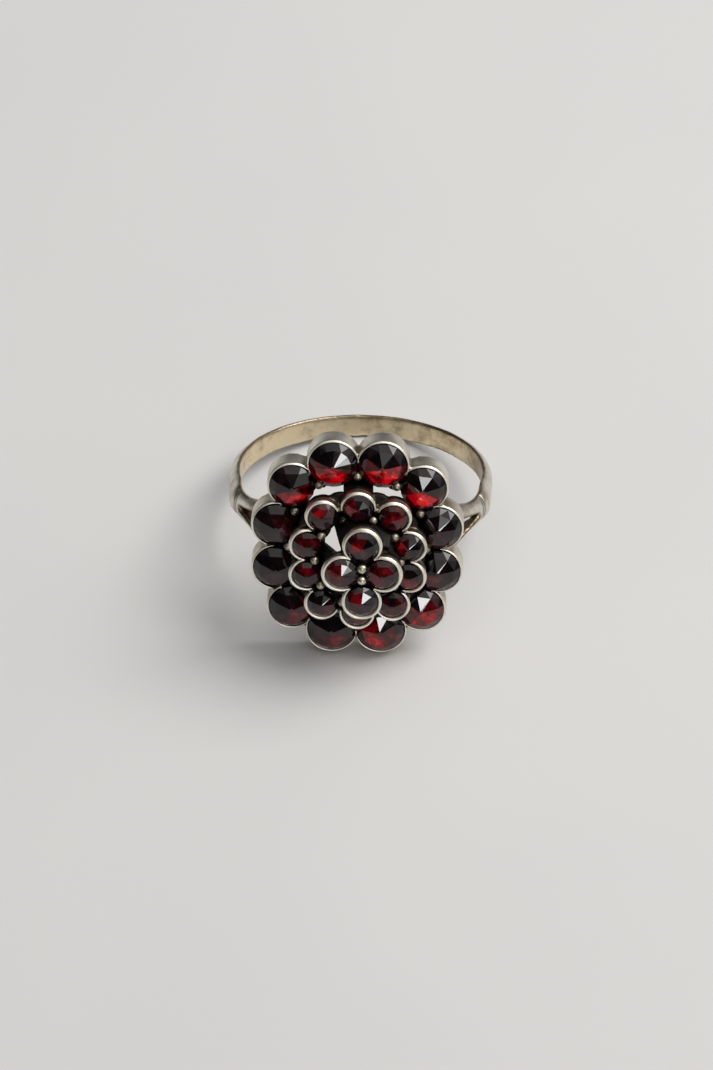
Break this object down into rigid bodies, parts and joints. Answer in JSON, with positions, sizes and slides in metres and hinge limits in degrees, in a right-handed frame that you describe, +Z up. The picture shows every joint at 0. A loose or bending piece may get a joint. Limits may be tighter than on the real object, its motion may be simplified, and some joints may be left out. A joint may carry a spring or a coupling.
{
  "type": "gemstone cluster ring",
  "caption": "Finger ring with a stepped oval cluster of round rose-cut garnets in scalloped silver settings on a forked half-round band.",
  "frame": {"origin": "centre of the footprint on the surface the ring lies on", "axes": "+Z up, +X to the right across the finger, -Y towards the viewer on the side of the head; the ring lies on its side and the finger hole leans 22 degrees from upright"},
  "size_m": [0.0192, 0.0243, 0.0161],
  "materials": {
    "silver": "worn, warm-toned silver, dark with tarnish in the recesses",
    "garnet": "polished, very dark red faceted stone"
  },
  "bodies": {
    "root": {"silver_mount": "silver", "outer_stone_01": "garnet", "outer_stone_02": "garnet", "outer_stone_03": "garnet", "outer_stone_04": "garnet", "outer_stone_05": "garnet", "outer_stone_06": "garnet", "outer_stone_07": "garnet", "outer_stone_08": "garnet", "outer_stone_09": "garnet", "outer_stone_10": "garnet", "outer_stone_11": "garnet", "outer_stone_12": "garnet", "middle_stone_01": "garnet", "middle_stone_02": "garnet", "middle_stone_03": "garnet", "middle_stone_04": "garnet", "middle_stone_05": "garnet", "middle_stone_06": "garnet", "middle_stone_07": "garnet", "middle_stone_08": "garnet", "middle_stone_09": "garnet", "middle_stone_10": "garnet", "top_stone_1": "garnet", "top_stone_2": "garnet", "top_stone_3": "garnet", "top_stone_4": "garnet"}
  },
  "joints": []
}
